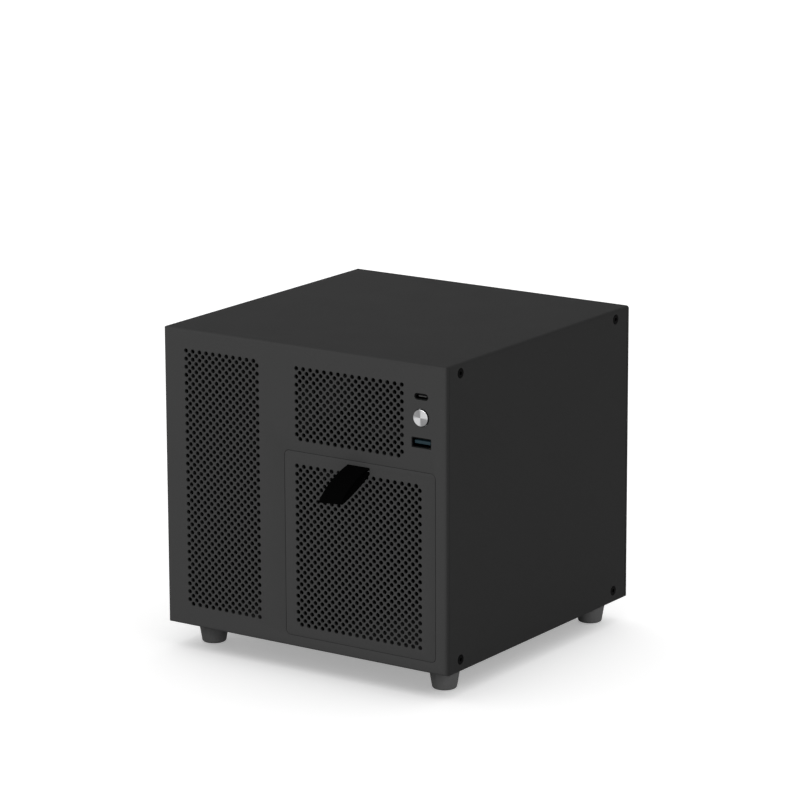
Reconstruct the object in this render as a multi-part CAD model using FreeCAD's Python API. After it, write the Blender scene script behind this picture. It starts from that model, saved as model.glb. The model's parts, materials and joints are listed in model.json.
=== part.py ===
"""Four-bay storage server case in folded steel, in millimetres.

Every solid is drawn in case coordinates: x across from the middle, y back from the front face and
z up from the underside of the shell. save() moves it into the part's frame, whose origin lies on
the floor under the middle of the whole part, with +y to the rear and +z up.
"""
import FreeCAD
import Part
import math
import os

from FreeCAD import Vector

# Shell
case_width = 204.0
case_depth = 202.0
case_height = 185.0
sheet = 1.2
bend_radius = 2.0
slip = 0.2          # clearance between folded sheets
seam = 0.4          # visible gap where two panels meet
front_rim = 3.0     # depth of the hemmed edge round the front
rear_rim = 2.0
lip_depth = 20.0    # flange that the cover slides over
flange = 9.0        # ordinary folded flange

# Perforated fields: plain margins round the hole centres, which lie at half the hole pitch
hole_size = 2.6
half_pitch = 2.5
coarse = 4          # a modelled hole stands for a block of coarse x coarse real ones
hole_sides = 6
field_drop = 13.3   # from the top of the shell to the first row
tower_field_inset = 16.8
tower_field_margin = 19.6
tower_field_rise = 14.1
upper_field_inset = 9.0    # from the door's left edge
upper_field_margin = 13.5  # to the middle of the sockets
upper_field_rise = 8.2
door_field_inset = 8.9
door_field_drop = 8.8
door_field_rise = 7.2

# Drive door
door_margin = 7.8   # from the right edge of the shell
door_lift = 7.3     # from the underside of the shell
door_frame = 2.8    # how far the door reaches past a drive on each side
door_depth = 7.0
door_corner = 3.0
door_gap = 0.2      # all round the door in its opening
upper_band = 64.1   # height of the panel above the door

# Pull strap
strap_width = 16.4
strap_thick = 1.2
strap_reach = 29.0
strap_fall = 13.9   # from the slot's middle to the tip
strap_root = 4.0    # height of the two layers in the slot
strap_tip = 1.3
strap_rise = 2.5    # how far the upper layer bows up from a straight line
strap_sag = 1.1
strap_drop = 4.9    # from the door's top edge to the slot's middle
strap_slot_gap = 0.3
anchor_height = 5.4
clamp_width = 34.0
clamp_foot = 6.0

# Door magnets
rail_length = 90.0
rail_depth = 5.0
rail_height = 3.4
magnet_length = 15.0
magnet_depth = 3.0
magnet_height = 2.0
magnet_spacing = 60.0

# Front sockets and power button
port_inset = 17.4   # from the right edge of the shell
usb_a_level = 138.3
button_level = 153.4
usb_c_level = 165.8
usb_a_width = 13.1
usb_a_height = 5.7
usb_a_gap = 0.3
usb_c_width = 8.9
usb_c_height = 3.2
usb_c_gap = 0.4
socket_wall = 0.4
port_flats = 6
socket_recess = 0.5
tongue_base = 4.0
usb_a_tongue_width = 11.0
usb_a_tongue_thick = 1.9
usb_a_tongue_rise = 0.4
usb_c_tongue_width = 5.6
usb_c_tongue_thick = 0.7
tongue_setback = 1.0
button_radius = 5.3
button_gap = 0.4
button_proud = 1.0
button_collar = 6.5
button_sides = 24
button_flange = 1.0
button_stem = 2.0
button_travel = 0.8
guide_size = 16.6
guide_wall = 1.2
switch_size = 6.0
switch_height = 4.0
plunger_size = 3.0
plunger_gap = 0.1
io_board_setback = 14.0
io_board_width = 23.0
io_board_height = 47.0
board_thick = 1.6
io_post_flats = 4.5
io_post_inset = 2.7  # from the board's edges

# Drive cage and backplane
drive_width = 101.6
drive_height = 26.1
drive_side_gap = 1.2
bay_count = 4
bay_pitch = 27.7
bay_floor = 8.7     # seat of the lowest drive
cage_front = 10.5
rear_room = 42.0    # behind the cage, for the backplane and the fan
cage_flange = 4.2
ledge_width = 6.0
ledge_front = 18.0
ledge_rear = 16.0
window_rise = 2.0
backplane_height = 114.0
backplane_vent_width = 44.0
backplane_vent_offset = 24.0
backplane_vent_height = 13.0
connector_width = 42.0
connector_height = 6.0
connector_depth = 8.0
connector_slot = 2.4
connector_rise = 6.0
connector_offset = 21.0
socket_row_inset = 2.0     # from the cage's left sheet to the row of data sockets
data_socket_gap = 3.0
power_socket_width = 21.0
power_socket_gap = 5.5
power_socket_inset = 10.5  # from the cage's right sheet
socket_height = 7.0
socket_depth = 8.0
socket_drop = 6.0

# Board tray and power supply shelf
tray_gap = 5.2      # to the drive cage's flanges
tray_margin = 10.7  # in front of the board's front screws
board_size = 170.0
board_lift = 8.0
board_rear_gap = 2.0
standoff_height = 6.5
standoff_flats = 5.5
standoff_bore = 1.25
hole_rear_near = 10.16
hole_rear_far = 33.02
hole_front = 165.1
hole_low = 6.35
hole_high = 163.83
processor_window = 78.0
processor_window_back = 72.8  # from the board's rear edge
processor_window_lift = 72.0
cable_window_depth = 16.0
cable_window_height = 46.0
cable_window_low = 55.0
cable_window_high = 130.0
cable_window_inset = 4.5
window_corner = 4.0
shelf_front = 45.0
shelf_clear = 6.6   # above the top drive bay
shelf_flange = 8.0

# Rear panel
io_aperture_width = 44.45
io_aperture_height = 158.75
io_aperture_back = 2.3   # past the board's front face, towards the tray
supply_width = 81.5
supply_height = 40.5
supply_inset = 5.0       # left edge of the supply from the door's left edge
supply_cut_width = 68.0
supply_cut_height = 36.0
supply_hole_span = 74.8
supply_hole_rise = 26.0
supply_hole = 1.8
grille_slot = 6.0
grille_rib = 3.0
grille_spine = 5.0

# Fan
fan_size = 92.0
fan_depth = 25.0
fan_corner = 5.0
fan_hole_span = 82.5
fan_hole = 2.15
fan_duct = 44.0
fan_wall = 1.6
fan_level = 64.0
fan_hub = 19.0
fan_hub_wall = 1.5
fan_tip_gap = 1.2
fan_motor_plate = 3.0
fan_strut = 4.0
fan_boss = 6.0
fan_end_gap = 1.5
blade_count = 7
fan_sides = 21
blade_thick = 1.6
blade_pitch = 40.0
blade_root_chord = 18.0
blade_tip_chord = 22.0
shaft_radius = 1.5
running_gap = 0.05
bearing_radius = 4.0
bearing_length = 12.0

# Feet and screws
foot_height = 15.3
foot_top = 9.9
foot_bottom = 7.5
foot_edge = 1.2
foot_sides = 16
foot_side_inset = 16.9
foot_front_inset = 23.3
foot_rear_inset = 15.0
screw_radius = 1.5
screw_head = 3.2
screw_gap = 0.06
screw_sides = 8
screw_length = 5.0
fan_screw_length = 12.0
screw_front_inset = 15.0
screw_rear_inset = 15.5
screw_top_inset = 5.9
screw_bottom_inset = 6.9
post_sides = 6

# How closely an edge has to follow a direction or lie on a face to be picked
touching = 1e-6

# Places worked out from the sizes above
left = -case_width / 2
right = case_width / 2
lap = sheet + slip                     # how far a flange sits inside the outer face
inside = lap + sheet                   # inner face of those flanges
rear_inner = case_depth - sheet
cover_front = front_rim + seam
cover_rear = case_depth - rear_rim - seam
lip_rear = case_depth - lip_depth
floor_clear = inside + slip            # first height free of the lips

door_width = drive_width + 2 * door_frame
door_x = (right - door_margin - door_width, right - door_margin)
door_z = (door_lift, case_height - upper_band)
door_mid = sum(door_x) / 2
strap_level = door_z[1] - strap_drop
port_x = right - port_inset

cage_half = drive_width / 2 + drive_side_gap
data_row = 2 * cage_half - socket_row_inset - power_socket_gap - power_socket_width - power_socket_inset
data_socket_pitch = (data_row + data_socket_gap) / bay_count
data_socket_width = data_socket_pitch - data_socket_gap
bay_top = bay_floor + bay_count * bay_pitch
cage_rear = case_depth - rear_room
backplane_front = cage_rear
backplane_rear = backplane_front + board_thick
shelf_level = bay_top + shelf_clear
tray_right = door_mid - cage_half - sheet - cage_flange - tray_gap
tray_x = (tray_right - sheet, tray_right)
board_rear = rear_inner - board_rear_gap
tray_front = board_rear - hole_front - tray_margin
board_face = tray_x[0] - standoff_height - board_thick

foot_places = [
    (side * (right - foot_side_inset), y)
    for side in (-1, 1)
    for y in (foot_front_inset, case_depth - foot_rear_inset)
]
cover_screw_places = [
    (y, z)
    for y in (screw_front_inset, case_depth - screw_rear_inset)
    for z in (screw_bottom_inset, case_height - screw_top_inset)
]
fan_screw_places = [
    (door_mid + i * fan_hole_span / 2, fan_level + k * fan_hole_span / 2)
    for i in (-1, 1)
    for k in (-1, 1)
]
frame_shift = Vector(0, (strap_reach - case_depth) / 2, foot_height)


def span(middle, size):
    return (middle - size / 2, middle + size / 2)


def box(x, y, z):
    return Part.makeBox(x[1] - x[0], y[1] - y[0], z[1] - z[0], Vector(x[0], y[0], z[0]))


def rod(start, direction, length, radius):
    return Part.makeCylinder(radius, length, Vector(*start), Vector(*direction))


def round_edges(shape, radius, wanted):
    """Fillet the edges whose middle point and direction satisfy wanted(point, direction)."""
    chosen = []
    for edge in shape.Edges:
        middle = (edge.FirstParameter + edge.LastParameter) / 2
        if wanted(edge.valueAt(middle), edge.tangentAt(middle)):
            chosen.append(edge)
    return shape.makeFillet(radius, chosen)


def along_y(point, direction):
    return direction.cross(Vector(0, 1, 0)).Length < touching


def block(x, y, z, corner):
    """A box whose four edges along y are rounded."""
    return round_edges(box(x, y, z), corner, along_y)


def skin(loops):
    """A solid with flat faces through loops of points, closed by the first and last loop."""
    faces = [Part.Face(Part.makePolygon(loop + loop[:1])) for loop in (loops[0], loops[-1])]
    for low, high in zip(loops, loops[1:]):
        for k in range(len(low)):
            corners = [low[k - 1], low[k], high[k], high[k - 1], low[k - 1]]
            faces.append(Part.Face(Part.makePolygon(corners)))
    solid = Part.makeSolid(Part.makeShell(faces))
    if solid.Volume < 0:
        solid.reverse()
    return solid.removeSplitter()


def turned(rings, base, axis, sides):
    """A turned piece with flat facets: rings of (distance along the axis, radius), end to end."""
    axis = Vector(*axis)
    across = Vector(axis.y, axis.z, axis.x)
    up = axis.cross(across)
    turns = [(k + 0.5) * 2 * math.pi / sides for k in range(sides)]
    loops = []
    for distance, radius in rings:
        middle = Vector(*base) + axis * distance
        loops.append([middle + across * (radius * math.cos(t)) + up * (radius * math.sin(t)) for t in turns])
    return skin(loops)


def prism(sides, flats, start, axis, length):
    """A regular prism with the given width across flats."""
    reach = flats / 2 / math.cos(math.pi / sides)
    return turned([(0, reach), (length, reach)], start, axis, sides)


def perforation(x, z):
    """Cutters for a staggered field, coarser than the real sheet but with the same open area."""
    step = half_pitch * coarse
    columns = int((x[1] - x[0]) // half_pitch)
    rows = int((z[1] - z[0]) // half_pitch)
    across = columns // coarse + 1
    down = rows // coarse + 1
    start_x = x[0] + (columns * half_pitch - (across - 1) * step) / 2
    start_z = z[1] - (rows * half_pitch - (down - 1) * step) / 2
    centres = [
        (start_x + i * step, -sheet, start_z - j * step)
        for i in range(across)
        for j in range(down)
        if (i + j) % 2 == 0
    ]
    return [prism(hole_sides, hole_size * coarse, centre, (0, 1, 0), 3 * sheet) for centre in centres]


def pan(y_face, y_rim, y_lip, rounding):
    """A hemmed panel: face, rim flush with the cover and an inset lip that runs inwards."""
    inward = 1 if y_lip > y_face else -1
    back = y_face + inward * sheet
    body = box((left, right), sorted((y_face, y_rim)), (0, case_height))
    if rounding:
        body = round_edges(body, rounding, lambda p, d: abs(p.y - y_face) < touching)
    lip = box(
        (left + lap, right - lap), sorted((back, y_lip)), (lap, case_height - lap))
    hollow = box(
        (left + inside, right - inside), sorted((back, y_lip + inward * sheet)),
        (inside, case_height - inside))
    return body.fuse(lip).cut(hollow).removeSplitter()


def countersunk(face, inward, length, extra):
    """Countersunk screw, wider by extra and longer at both ends when it stands for its own hole."""
    taper = (screw_head - screw_radius) / sheet
    rings = [
        (-extra, screw_head + extra + taper * extra),
        (sheet, screw_radius + extra),
        (length + extra, screw_radius + extra),
    ]
    return turned(rings, face, inward, screw_sides)


def side_screw(side, y, z, extra):
    return countersunk((side * right, y, z), (-side, 0, 0), screw_length, extra)


def rear_screw(x, z, extra):
    return countersunk((x, case_depth, z), (0, -1, 0), fan_screw_length, extra)


def cover_screw_holes():
    return [side_screw(side, y, z, screw_gap) for side in (-1, 1) for y, z in cover_screw_places]


# Shell pieces


def front_panel():
    body = pan(0, front_rim, lip_depth, bend_radius)
    through = (-sheet, 2 * sheet)
    opening = block(
        (door_x[0] - door_gap, door_x[1] + door_gap), through,
        (door_z[0] - door_gap, door_z[1] + door_gap), door_corner + door_gap)
    cutters = [opening]
    field_top = case_height - field_drop
    cutters += perforation(
        (left + tower_field_inset, door_x[0] - tower_field_margin), (tower_field_rise, field_top))
    cutters += perforation(
        (door_x[0] + upper_field_inset, port_x - upper_field_margin),
        (door_z[1] + upper_field_rise, field_top))
    cutters.append(plain_port(
        usb_a_level, usb_a_width + 2 * usb_a_gap, usb_a_height + 2 * usb_a_gap, through))
    cutters.append(round_port(
        usb_c_level, usb_c_width + 2 * usb_c_gap, usb_c_height + 2 * usb_c_gap, through))
    cutters.append(rod((port_x, -sheet, button_level), (0, 1, 0), 3 * sheet, button_radius + button_gap))
    return body.cut(cutters + cover_screw_holes())


def top_cover():
    outer = box((left, right), (cover_front, cover_rear), (0, case_height))
    outer = round_edges(outer, bend_radius, lambda p, d: along_y(p, d) and p.z > sheet)
    inner = box((left + sheet, right - sheet), (0, case_depth), (-sheet, case_height - sheet))
    inner_radius = bend_radius - sheet - slip    # clears the square corners of the lips
    inner = round_edges(inner, inner_radius, lambda p, d: along_y(p, d) and p.z > sheet)
    return outer.cut([inner] + cover_screw_holes())


def base_tray():
    body = box((left + lap, right - lap), (cover_front, cover_rear), (0, sheet))
    for x in ((left + lap, left + inside), (right - inside, right - lap)):
        body = body.fuse(box(x, (lip_depth + seam, lip_rear - seam), (0, flange + sheet)))
    return body.removeSplitter()


def rear_panel():
    body = pan(case_depth, case_depth - rear_rim, lip_rear, 0)
    through = (rear_inner - sheet, case_depth + sheet)
    aperture_right = board_face + io_aperture_back
    supply_mid = door_x[0] + supply_inset + supply_width / 2
    supply_level = shelf_level + sheet + slip + supply_height / 2
    cutters = [
        box((aperture_right - io_aperture_width, aperture_right), through,
            span(board_lift + board_size / 2, io_aperture_height)),
        box(span(supply_mid, supply_cut_width), through, span(supply_level, supply_cut_height)),
    ]
    for i in (-1, 1):
        for k in (-1, 1):
            cutters.append(rod(
                (supply_mid + i * supply_hole_span / 2, through[0], supply_level + k * supply_hole_rise / 2),
                (0, 1, 0), 3 * sheet, supply_hole))
    cutters += grille(through)
    cutters += [rear_screw(x, z, screw_gap) for x, z in fan_screw_places]
    return body.cut(cutters + cover_screw_holes())


def grille(through):
    """Slots over the fan's duct, split by an upright spine."""
    pitch = grille_slot + grille_rib
    reach = fan_duct - grille_rib
    rows = int((reach - grille_slot / 2) // pitch)
    slots = []
    for row in range(-rows, rows + 1):
        edge = abs(row) * pitch + grille_slot / 2
        half = math.sqrt(reach ** 2 - edge ** 2)
        level = span(fan_level + row * pitch, grille_slot)
        slots.append(box((door_mid - half, door_mid - grille_spine / 2), through, level))
        slots.append(box((door_mid + grille_spine / 2, door_mid + half), through, level))
    return slots


def cover_screws(side):
    return Part.makeCompound([side_screw(side, y, z, 0) for y, z in cover_screw_places])


# Drive door


def drive_door():
    body = block(door_x, (0, door_depth), door_z, door_corner)
    hollow = block(
        (door_x[0] + sheet, door_x[1] - sheet), (sheet, door_depth + sheet),
        (door_z[0] + sheet, door_z[1] - sheet), door_corner - sheet)
    slot = box(
        span(door_mid, strap_width + 2 * strap_slot_gap), (-sheet, 2 * sheet),
        span(strap_level, strap_root + 2 * strap_slot_gap))
    holes = perforation(
        (door_x[0] + door_field_inset, door_x[1] - door_field_inset),
        (door_z[0] + door_field_rise, door_z[1] - door_field_drop))
    return body.cut([hollow, slot] + holes)


def strap_outline():
    """Outer edge of the folded ribbon, seen from the side: two bowed layers that meet at the tip."""
    back = sheet + slip + strap_thick
    top = strap_level + strap_root / 2
    low = strap_level - strap_root / 2
    tip = Vector(0, strap_tip - strap_reach, strap_level - strap_fall)
    upper_root = Vector(0, 0, top)
    lower_root = Vector(0, 0, low)
    lean = math.atan2(strap_fall, strap_reach)
    across = Vector(0, -math.sin(lean), math.cos(lean))
    upper_tip = tip + across * strap_tip
    lower_tip = tip - across * strap_tip
    nose = tip + Vector(0, -math.cos(lean), -math.sin(lean)) * strap_tip
    upper_mid = (upper_root + upper_tip) * 0.5 + across * strap_rise
    lower_mid = (lower_root + lower_tip) * 0.5 - across * strap_sag
    upper_back = Vector(0, back, top)
    lower_back = Vector(0, back, low)
    return Part.Wire([
        Part.LineSegment(upper_back, upper_root).toShape(),
        Part.Arc(upper_root, upper_mid, upper_tip).toShape(),
        Part.Arc(upper_tip, nose, lower_tip).toShape(),
        Part.Arc(lower_tip, lower_mid, lower_root).toShape(),
        Part.LineSegment(lower_root, lower_back).toShape(),
        Part.LineSegment(lower_back, upper_back).toShape(),
    ])


def door_pull_strap():
    outer = Part.Face(strap_outline())
    inner = outer.makeOffset2D(-strap_thick)
    left_edge = door_mid - strap_width / 2
    ring = outer.cut(inner).extrude(Vector(strap_width, 0, 0))
    ring.translate(Vector(left_edge, 0, 0))
    back = sheet + slip
    anchor = box(span(door_mid, strap_width), (back, back + strap_thick), span(strap_level, anchor_height))
    hidden = box(span(door_mid, strap_width), (back, back + strap_thick), span(strap_level, strap_root))
    return ring.fuse(anchor.cut(hidden)).removeSplitter()


def strap_clamp():
    """Hat-shaped steel clip, welded to the back of the door by its two feet."""
    seat = sheet + slip + strap_thick + slip
    body = box(span(door_mid, clamp_width), (seat, seat + sheet), span(strap_level, anchor_height))
    for side in (-1, 1):
        foot_mid = door_mid + side * (clamp_width - clamp_foot) / 2
        body = body.fuse(box(span(foot_mid, clamp_foot), (sheet, seat), span(strap_level, anchor_height)))
    return body.removeSplitter()


def rail_span(level):
    """Height range of the magnet rail above (1) or below (-1) the door opening."""
    if level > 0:
        return (door_z[1] + door_gap + slip, door_z[1] + door_gap + slip + rail_height)
    return (door_z[0] - door_gap - slip - rail_height, door_z[0] - door_gap - slip)


def magnet_box(level, side):
    rail = rail_span(level)
    z = (rail[0], rail[0] + magnet_height) if level > 0 else (rail[1] - magnet_height, rail[1])
    return box(
        span(door_mid + side * magnet_spacing / 2, magnet_length),
        (sheet + (rail_depth - magnet_depth) / 2, sheet + (rail_depth + magnet_depth) / 2), z)


def magnet_rail(level):
    body = box(span(door_mid, rail_length), (sheet, sheet + rail_depth), rail_span(level))
    return body.cut([magnet_box(level, side) for side in (-1, 1)])


def door_magnets():
    return Part.makeCompound([magnet_box(level, side) for level in (-1, 1) for side in (-1, 1)])


# Front sockets and power button


def plain_port(level, width, height, y):
    return box(span(port_x, width), y, span(level, height))


def round_port(level, width, height, y):
    """A port outline with half-round ends, each drawn with a few flats."""
    corners = []
    for side in (-1, 1):
        for k in range(port_flats + 1):
            turn = side * math.pi / 2 + k * math.pi / port_flats
            corners.append(Vector(
                port_x + (width - height) / 2 * -side + height / 2 * math.cos(turn), y[0],
                level + height / 2 * math.sin(turn)))
    return Part.Face(Part.makePolygon(corners + corners[:1])).extrude(Vector(0, y[1] - y[0], 0))


def socket_shell(outline, level, width, height):
    outer = outline(level, width, height, (socket_recess, io_board_setback))
    bore = outline(level, width - 2 * socket_wall, height - 2 * socket_wall, (0, 2 * io_board_setback))
    return outer.cut(bore)


def socket_tongue(level, width, thick, rise, base_height):
    """Insulator at the back of a socket with its contact tongue."""
    base_front = io_board_setback - tongue_base
    base = box(span(port_x, width), (base_front, io_board_setback), span(level, base_height))
    tongue = box(span(port_x, width), (socket_recess + tongue_setback, base_front), span(level + rise, thick))
    return base.fuse(tongue).removeSplitter()


stem_end = io_board_setback - switch_height - button_travel - slip


def power_button():
    collar_y = (sheet + slip, sheet + slip + button_flange)
    rings = [
        (-button_proud, button_radius), (collar_y[0], button_radius), (collar_y[0], button_collar),
        (collar_y[1], button_collar), (collar_y[1], button_stem), (stem_end, button_stem),
    ]
    return turned(rings, (port_x, 0, button_level), (0, 1, 0), button_sides)


def button_guide():
    """Moulded block behind the panel that the cap slides in."""
    end = stem_end - slip
    body = box(span(port_x, guide_size), (sheet, end), span(button_level, guide_size))
    reach = button_collar + button_gap
    well = turned([(0, reach), (end - guide_wall, reach)], (port_x, 0, button_level), (0, 1, 0), button_sides)
    hole = box(
        span(port_x, 2 * (button_stem + button_gap)), (0, 2 * end),
        span(button_level, 2 * (button_stem + button_gap)))
    return body.cut([well, hole])


def power_switch():
    face = io_board_setback - switch_height
    body = box(span(port_x, switch_size), (face, io_board_setback), span(button_level, switch_size))
    mouth = plunger_size + 2 * plunger_gap
    well = box(
        span(port_x, mouth), (face - sheet, face + 2 * button_travel + slip), span(button_level, mouth))
    return body.cut(well)


def switch_plunger():
    face = io_board_setback - switch_height
    return box(
        span(port_x, plunger_size), (stem_end, face + button_travel), span(button_level, plunger_size))


io_board_level = (usb_a_level + usb_c_level) / 2


def io_post_places():
    for side in (-1, 1):
        yield (
            port_x - side * (io_board_width / 2 - io_post_inset),
            io_board_level + side * (io_board_height / 2 - io_post_inset))


def front_io_board():
    return box(
        span(port_x, io_board_width), (io_board_setback, io_board_setback + board_thick),
        span(io_board_level, io_board_height))


def io_board_standoffs():
    return Part.makeCompound([
        prism(post_sides, io_post_flats, (x, sheet, z), (0, 1, 0), io_board_setback - sheet)
        for x, z in io_post_places()
    ])


# Drive cage and backplane


def bay_level(index):
    return bay_floor + index * bay_pitch


def drive_cage(side):
    """One side of the cage: an upright sheet with folded flanges and lanced drive rails."""
    inner = door_mid + side * cage_half
    outer = inner + side * sheet
    y_flange = (lip_depth + 2 * seam, cage_rear - sheet)
    sheet_x = sorted((inner, outer))
    flange_x = sorted((outer, outer + side * cage_flange))
    body = box(sheet_x, (cage_front, cage_rear), (floor_clear, shelf_level))
    body = body.fuse([
        box(sheet_x, y_flange, (sheet, floor_clear)),
        box(flange_x, y_flange, (sheet, 2 * sheet)),
        box(flange_x, y_flange, (shelf_level - sheet, shelf_level)),
        box(flange_x, (cage_rear - sheet, cage_rear), (bay_floor, bay_top)),
    ])
    rails = []
    windows = []
    for index in range(bay_count):
        level = bay_level(index)
        rail_y = (ledge_front, cage_rear - ledge_rear)
        rail_x = sorted((inner, inner - side * ledge_width))
        rails.append(box(rail_x, rail_y, (level - sheet, level)))
        windows.append(box(
            sorted((inner - side * sheet, outer + side * sheet)), rail_y,
            (level + window_rise, level + window_rise + ledge_width)))
    return body.fuse(rails).cut(windows).removeSplitter()


def backplane_board():
    half = cage_half + sheet + cage_flange
    middle = (bay_floor + bay_top) / 2
    body = box(
        span(door_mid, 2 * half), (backplane_front, backplane_rear), span(middle, backplane_height))
    vents = []
    for index in range(bay_count):
        vents.append(box(
            span(door_mid - backplane_vent_offset, backplane_vent_width),
            (backplane_front - sheet, backplane_rear + sheet),
            span(bay_level(index) + drive_height / 2, backplane_vent_height)))
    return body.cut(vents)


def drive_connector(index):
    """Data and power receptacle for one drive: a block with one long slot."""
    middle = door_mid + connector_offset
    level = bay_level(index) + connector_rise
    front = backplane_front - connector_depth
    body = box(
        span(middle, connector_width), (front, backplane_front), span(level, connector_height))
    slot = box(
        span(middle, connector_width - 2 * connector_height), (front - sheet, backplane_front - 2 * sheet),
        span(level, connector_slot))
    return body.cut(slot)


def socket_row(count, pitch, width, start):
    level = (bay_floor + bay_top + backplane_height) / 2 - socket_drop
    y = (backplane_rear, backplane_rear + socket_depth)
    solids = []
    for index in range(count):
        x = span(start + index * pitch, width)
        body = box(x, y, span(level, socket_height))
        mouth = box(
            (x[0] + sheet, x[1] - sheet), (y[0] + 2 * sheet, y[1] + sheet),
            span(level, socket_height - 2 * sheet))
        solids.append(body.cut(mouth))
    return Part.makeCompound(solids)


def backplane_data_sockets():
    first = door_mid - cage_half + socket_row_inset + data_socket_width / 2
    return socket_row(bay_count, data_socket_pitch, data_socket_width, first)


def backplane_power_sockets():
    middle = door_mid + cage_half - power_socket_inset - power_socket_width / 2
    return socket_row(1, 0, power_socket_width, middle)


# Board tray and power supply shelf


def standoff_places():
    low = board_lift + hole_low
    high = board_lift + hole_high
    yield (board_rear - hole_rear_near, high)
    yield (board_rear - hole_rear_far, low)
    yield (board_rear - hole_front, low)
    yield (board_rear - hole_front, high)


def clip_corners(shape, size):
    """Chamfer the four edges that run along x."""
    across = Vector(1, 0, 0)
    chosen = [e for e in shape.Edges if e.tangentAt(e.FirstParameter).cross(across).Length < touching]
    return shape.makeChamfer(size, chosen)


def motherboard_tray():
    plate = box(tray_x, (tray_front, rear_inner - slip), (floor_clear, case_height - floor_clear))
    y_flange = (max(tray_front + flange, lip_depth + seam), lip_rear - seam)
    flange_x = (tray_x[0] - flange, tray_x[1])
    plate = plate.fuse([
        box(flange_x, y_flange, (sheet, 2 * sheet)),
        box(tray_x, y_flange, (sheet, floor_clear)),
    ])
    across = (tray_x[0] - sheet, tray_x[1] + sheet)
    window_rear = board_rear - processor_window_back
    window = box(
        across, (window_rear - processor_window, window_rear),
        (processor_window_lift, processor_window_lift + processor_window))
    cable_y = (tray_front + cable_window_inset, tray_front + cable_window_inset + cable_window_depth)
    cutters = [window]
    for level in (cable_window_low, cable_window_high):
        cutters.append(box(across, cable_y, span(level, cable_window_height)))
    clipped = [clip_corners(cutter, window_corner) for cutter in cutters]
    return plate.cut(clipped).removeSplitter()


def motherboard_standoffs():
    solids = []
    for y, z in standoff_places():
        start = (tray_x[0] - standoff_height, y, z)
        post = prism(post_sides, standoff_flats, start, (1, 0, 0), standoff_height)
        bore = rod(start, (1, 0, 0), standoff_height, standoff_bore)
        solids.append(post.cut(bore))
    return Part.makeCompound(solids)


def psu_shelf():
    x = (tray_x[1] + slip, right - inside - slip)
    y = (shelf_front, lip_rear - seam)
    body = box(x, y, (shelf_level, shelf_level + sheet))
    for edge in ((x[0], x[0] + sheet), (x[1] - sheet, x[1])):
        body = body.fuse(box(edge, y, (shelf_level - shelf_flange, shelf_level + sheet)))
    lip = box(x, (y[0], y[0] + sheet), (shelf_level, shelf_level + shelf_flange / 2))
    return body.fuse(lip).removeSplitter()


# Fan


fan_front = rear_inner - fan_depth
rotor_front = fan_front + fan_end_gap
motor_front = rear_inner - fan_motor_plate
rotor_rear = motor_front - fan_end_gap
bearing_front = motor_front - bearing_length


def fan_rod(y, radius):
    return rod((door_mid, y[0], fan_level), (0, 1, 0), y[1] - y[0], radius)


def fan_turned(rings, sides=fan_sides):
    return turned(rings, (door_mid, 0, fan_level), (0, 1, 0), sides)


def fan_frame():
    plate_y = (motor_front, rear_inner)
    duct_reach = fan_duct / math.cos(math.pi / (2 * fan_sides))
    body = block(span(door_mid, fan_size), (fan_front, rear_inner), span(fan_level, fan_size), fan_corner)
    duct = fan_turned([(fan_front - sheet, duct_reach), (rear_inner + sheet, duct_reach)], 2 * fan_sides)
    body = body.cut(duct)
    spokes = [
        box(span(door_mid, fan_strut), plate_y, span(fan_level, 2 * fan_duct + fan_wall)),
        box(span(door_mid, 2 * fan_duct + fan_wall), plate_y, span(fan_level, fan_strut)),
    ]
    motor = fan_turned([
        (bearing_front, fan_boss), (motor_front, fan_boss), (motor_front, fan_hub), (rear_inner, fan_hub)])
    bore = fan_turned([
        (fan_front, bearing_radius + running_gap), (rear_inner - sheet, bearing_radius + running_gap)])
    holes = [
        prism(screw_sides, 2 * fan_hole, (x, fan_front - sheet, z), (0, 1, 0), fan_depth + 2 * sheet)
        for x, z in fan_screw_places
    ]
    return body.fuse(spokes + [motor]).cut([bore] + holes).removeSplitter()


def fan_bearing():
    y = (bearing_front, rear_inner - sheet - slip)
    sleeve = fan_turned([(y[0], bearing_radius), (y[1], bearing_radius)])
    return sleeve.cut(fan_rod((y[0] - sheet, y[1] + sheet), shaft_radius + running_gap))


def fan_shaft():
    return fan_rod((rotor_front + fan_hub_wall, rear_inner - 2 * sheet), shaft_radius)


def blade_section(radius, chord):
    """Slanted strip that a blade has at this distance from the shaft."""
    lean = math.radians(blade_pitch)
    along = Vector(math.cos(lean), math.sin(lean), 0) * (chord / 2)
    side = Vector(-math.sin(lean), math.cos(lean), 0) * (blade_thick / 2)
    middle = Vector(door_mid, (rotor_front + rotor_rear) / 2, fan_level + radius)
    return [middle - along - side, middle + along - side, middle + along + side, middle - along + side]


def fan_rotor():
    cup = fan_turned([(rotor_front, fan_hub), (rotor_rear, fan_hub)])
    hollow_radius = fan_hub - fan_hub_wall
    hollow = fan_turned([(rotor_front + fan_hub_wall, hollow_radius), (rotor_rear + sheet, hollow_radius)])
    blade = skin([
        blade_section(hollow_radius, blade_root_chord),
        blade_section(fan_duct - fan_tip_gap, blade_tip_chord),
    ])
    blades = []
    for index in range(blade_count):
        turn = index * 360.0 / blade_count
        blades.append(blade.rotated(Vector(door_mid, 0, fan_level), Vector(0, 1, 0), turn))
    return cup.fuse(blades).cut(hollow).removeSplitter()


def fan_screws():
    return Part.makeCompound([rear_screw(x, z, 0) for x, z in fan_screw_places])


# Feet


def rubber_feet():
    rings = [
        (0, foot_top),
        (foot_height - foot_edge, foot_bottom),
        (foot_height, foot_bottom - foot_edge),
    ]
    return Part.makeCompound([turned(rings, (x, y, 0), (0, 0, -1), foot_sides) for x, y in foot_places])


def save(name, shape):
    shape.translate(frame_shift)
    shape.exportStep("parts/" + name + ".step")


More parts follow.
